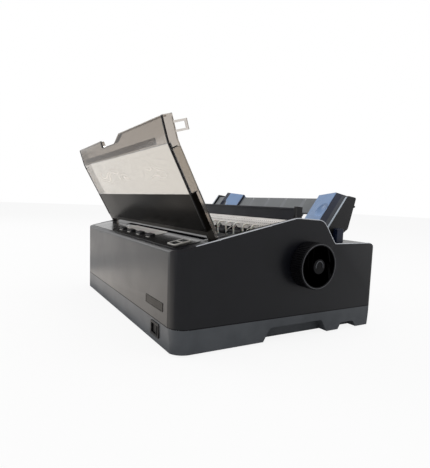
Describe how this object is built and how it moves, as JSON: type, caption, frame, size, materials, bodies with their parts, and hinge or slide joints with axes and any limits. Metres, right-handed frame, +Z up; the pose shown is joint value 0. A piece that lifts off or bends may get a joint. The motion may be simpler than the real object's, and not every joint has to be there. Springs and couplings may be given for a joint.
{
  "type": "dot matrix printer",
  "caption": "Desktop dot matrix printer with smoked cover open on its hinge, sloped control panel, platen knob, tension bar, raised paper guide and blue edge guides.",
  "frame": {"origin": "middle of the case's footprint, on the plane that the feet rest on", "axes": "+X to the right seen from the front, +Y to the rear, +Z up"},
  "size_m": [0.3642, 0.2856, 0.2214],
  "materials": {
    "case_upper": "satin charcoal moulded ABS",
    "case_lower": "satin dark grey moulded ABS",
    "panel_black": "polished black acrylic",
    "status_print": "pale painted plate",
    "lens_smoke": "smoked lens",
    "button_black": "fine-textured black",
    "trim_black": "fine-textured black",
    "badge_grey": "blank dark plate with a raised rim",
    "rubber_foot": "matte black rubber",
    "cover_clear": "smoked clear polycarbonate",
    "cover_smoke": "dark smoked moulding",
    "bar_dark": "ribbed black moulding",
    "guide_dark": "dark grey moulding",
    "guide_blue": "satin light blue moulding",
    "bracket_navy": "satin navy moulding",
    "zinc_steel": "zinc-plated sheet",
    "bright_steel": "ground steel shaft",
    "connector_metal": "nickel-plated shell",
    "screw_steel": "zinc-plated screw",
    "acetal_white": "natural acetal",
    "platen_rubber": "ground black rubber",
    "roller_rubber": "soft grey rubber",
    "belt_rubber": "toothed rubber belt",
    "pinion_brass": "machined brass",
    "motor_can": "dark painted can",
    "head_cast": "dark cast heat sink",
    "moulding_black": "black moulding",
    "lid_grey": "slate grey moulding",
    "lever_blue": "blue lever cap",
    "ink_cloth": "inked nylon ribbon",
    "board_green": "solder-masked board",
    "supply_case": "perforated sheet case"
  },
  "bodies": {
    "chassis": {"lower_case": "case_lower", "upper_case": "case_upper", "control_panel": "panel_black", "status_plate": "status_print", "led_lenses": "lens_smoke", "switch_bezel": "trim_black", "rubber_feet": "rubber_foot", "case_screws": "screw_steel", "interface_ports": "connector_metal", "power_inlet": "trim_black", "badge_plate": "badge_grey", "guide_brackets": "bracket_navy", "base_frame": "zinc_steel", "side_frame_left": "zinc_steel", "side_frame_right": "zinc_steel", "platen_bushings": "acetal_white", "feed_motor": "motor_can", "tractor_rod": "bright_steel", "carriage_shaft": "bright_steel", "carriage_motor": "motor_can", "timing_belt": "belt_rubber", "ribbon_cartridge": "moulding_black", "ink_ribbon": "ink_cloth", "main_board": "board_green", "power_supply": "supply_case"},
    "cover": {"cover_window": "cover_clear", "cover_frame": "cover_smoke"},
    "feed_button": {"feed_button": "button_black"},
    "load_button": {"load_button": "button_black"},
    "font_button": {"font_button": "button_black"},
    "pause_button": {"pause_button": "button_black"},
    "power_switch": {"power_switch": "trim_black"},
    "tension_unit": {"tension_bar": "bar_dark", "tension_arms": "moulding_black"},
    "tension_rollers": {"tension_rollers": "roller_rubber"},
    "paper_guide": {"paper_guide": "guide_dark"},
    "edge_guide_left": {"edge_guide_left": "guide_blue"},
    "edge_guide_right": {"edge_guide_right": "guide_blue"},
    "platen": {"platen_roller": "platen_rubber", "platen_shaft": "bright_steel", "platen_knob": "trim_black", "platen_gear": "acetal_white"},
    "pinch_rollers": {"pinch_rollers": "roller_rubber"},
    "idler_gear": {"idler_gear": "acetal_white"},
    "feed_pinion": {"feed_pinion": "pinion_brass"},
    "tractor_drive": {"tractor_gear": "acetal_white", "tractor_shaft": "bright_steel"},
    "tractor_left": {"tractor_left": "moulding_black"},
    "tractor_right": {"tractor_right": "moulding_black"},
    "tractor_lid_left": {"tractor_lid_left": "lid_grey"},
    "tractor_lid_right": {"tractor_lid_right": "lid_grey"},
    "sprocket_left": {"sprocket_left": "acetal_white"},
    "sprocket_right": {"sprocket_right": "acetal_white"},
    "carriage": {"carriage": "moulding_black", "print_head": "head_cast"},
    "motor_pulley": {"motor_pulley": "pinion_brass"},
    "idler_pulley": {"idler_pulley": "acetal_white"},
    "ribbon_knob": {"ribbon_knob": "moulding_black"},
    "release_lever": {"release_lever": "lever_blue"},
    "thickness_lever": {"thickness_lever": "trim_black"}
  },
  "joints": [
    {"name": "cover_hinge", "type": "hinge", "parent": "chassis", "child": "cover", "pos_m": [0, -0.088, 0.10683], "axis": [1, 0, 0], "range_deg": [-105.3, 0]},
    {"name": "feed_button_press", "type": "slide", "parent": "chassis", "child": "feed_button", "axis": [0, 0.2226, -0.9749], "range_m": [0, 0.0008], "stiffness_N_per_m": 900, "springref_m": -0.0005},
    {"name": "load_button_press", "type": "slide", "parent": "chassis", "child": "load_button", "axis": [0, 0.2226, -0.9749], "range_m": [0, 0.0008], "stiffness_N_per_m": 900, "springref_m": -0.0005},
    {"name": "font_button_press", "type": "slide", "parent": "chassis", "child": "font_button", "axis": [0, 0.2226, -0.9749], "range_m": [0, 0.0008], "stiffness_N_per_m": 900, "springref_m": -0.0005},
    {"name": "pause_button_press", "type": "slide", "parent": "chassis", "child": "pause_button", "axis": [0, 0.2226, -0.9749], "range_m": [0, 0.0008], "stiffness_N_per_m": 900, "springref_m": -0.0005},
    {"name": "power_rocker", "type": "hinge", "parent": "chassis", "child": "power_switch", "pos_m": [0.1275, -0.1298, 0.0156], "axis": [0, 0, 1], "range_deg": [0, 16]},
    {"name": "tension_tilt", "type": "hinge", "parent": "chassis", "child": "tension_unit", "pos_m": [0, 0.0276, 0.0823], "axis": [1, 0, 0], "range_deg": [-14, 0]},
    {"name": "tension_roller_spin", "type": "hinge", "parent": "tension_unit", "child": "tension_rollers", "pos_m": [0, 0.03591, 0.10514], "axis": [1, 0, 0], "continuous": true},
    {"name": "guide_tilt", "type": "hinge", "parent": "chassis", "child": "paper_guide", "pos_m": [0, 0.0855, 0.113], "axis": [1, 0, 0], "range_deg": [-36, 0]},
    {"name": "edge_left_slide", "type": "slide", "parent": "paper_guide", "child": "edge_guide_left", "axis": [1, 0, 0], "range_m": [-0.0225, 0.055]},
    {"name": "edge_right_slide", "type": "slide", "parent": "paper_guide", "child": "edge_guide_right", "axis": [1, 0, 0], "range_m": [-0.085, 0]},
    {"name": "platen_spin", "type": "hinge", "parent": "chassis", "child": "platen", "pos_m": [0, 0.0276, 0.0823], "axis": [1, 0, 0], "continuous": true},
    {"name": "pinch_spin", "type": "hinge", "parent": "chassis", "child": "pinch_rollers", "pos_m": [0, 0.04025, 0.06039], "axis": [1, 0, 0], "continuous": true},
    {"name": "idler_spin", "type": "hinge", "parent": "chassis", "child": "idler_gear", "pos_m": [-0.1539, 0.06219, 0.06782], "axis": [1, 0, 0], "continuous": true},
    {"name": "pinion_spin", "type": "hinge", "parent": "chassis", "child": "feed_pinion", "pos_m": [-0.1539, 0.0126, 0.05632], "axis": [1, 0, 0], "continuous": true},
    {"name": "tractor_spin", "type": "hinge", "parent": "chassis", "child": "tractor_drive", "pos_m": [0, 0.092, 0.078], "axis": [1, 0, 0], "continuous": true},
    {"name": "tractor_left_slide", "type": "slide", "parent": "chassis", "child": "tractor_left", "axis": [1, 0, 0], "range_m": [-0.008, 0.06]},
    {"name": "tractor_right_slide", "type": "slide", "parent": "chassis", "child": "tractor_right", "axis": [1, 0, 0], "range_m": [-0.06, 0.008]},
    {"name": "lid_left_hinge", "type": "hinge", "parent": "tractor_left", "child": "tractor_lid_left", "pos_m": [-0.1235, 0.0985, 0.09133], "axis": [0, 1, 0], "range_deg": [-100, 0]},
    {"name": "lid_right_hinge", "type": "hinge", "parent": "tractor_right", "child": "tractor_lid_right", "pos_m": [0.1235, 0.0985, 0.09133], "axis": [0, 1, 0], "range_deg": [0, 100]},
    {"name": "sprocket_left_spin", "type": "hinge", "parent": "tractor_left", "child": "sprocket_left", "pos_m": [-0.1143, 0.092, 0.078], "axis": [1, 0, 0], "continuous": true},
    {"name": "sprocket_right_spin", "type": "hinge", "parent": "tractor_right", "child": "sprocket_right", "pos_m": [0.1143, 0.092, 0.078], "axis": [1, 0, 0], "continuous": true},
    {"name": "carriage_slide", "type": "slide", "parent": "chassis", "child": "carriage", "axis": [1, 0, 0], "range_m": [0, 0.2]},
    {"name": "motor_pulley_spin", "type": "hinge", "parent": "chassis", "child": "motor_pulley", "pos_m": [0.133, -0.038, 0.047], "axis": [0, 0, 1], "continuous": true},
    {"name": "idler_pulley_spin", "type": "hinge", "parent": "chassis", "child": "idler_pulley", "pos_m": [-0.133, -0.038, 0.047], "axis": [0, 0, 1], "continuous": true},
    {"name": "ribbon_knob_spin", "type": "hinge", "parent": "chassis", "child": "ribbon_knob", "pos_m": [-0.104, -0.057, 0.1], "axis": [0, 0, 1], "continuous": true},
    {"name": "release_lever_hinge", "type": "hinge", "parent": "chassis", "child": "release_lever", "pos_m": [0.153, 0.0616, 0.066], "axis": [1, 0, 0], "range_deg": [0, 16]},
    {"name": "thickness_lever_hinge", "type": "hinge", "parent": "chassis", "child": "thickness_lever", "pos_m": [-0.153, -0.052, 0.066], "axis": [1, 0, 0], "range_deg": [-12, 12]}
  ],
  "couplings": [
    {"joint": "tension_roller_spin", "follows": "platen_spin", "ratio": -3.8},
    {"joint": "pinch_spin", "follows": "platen_spin", "ratio": -3.1667},
    {"joint": "idler_spin", "follows": "platen_spin", "ratio": -1.2727},
    {"joint": "pinion_spin", "follows": "platen_spin", "ratio": -2.3333},
    {"joint": "tractor_spin", "follows": "platen_spin", "ratio": 1.4},
    {"joint": "sprocket_left_spin", "follows": "platen_spin", "ratio": 1.4},
    {"joint": "sprocket_right_spin", "follows": "platen_spin", "ratio": 1.4},
    {"joint": "motor_pulley_spin", "follows": "carriage_slide", "rad_per_m": 131.58},
    {"joint": "idler_pulley_spin", "follows": "carriage_slide", "rad_per_m": 131.58}
  ]
}
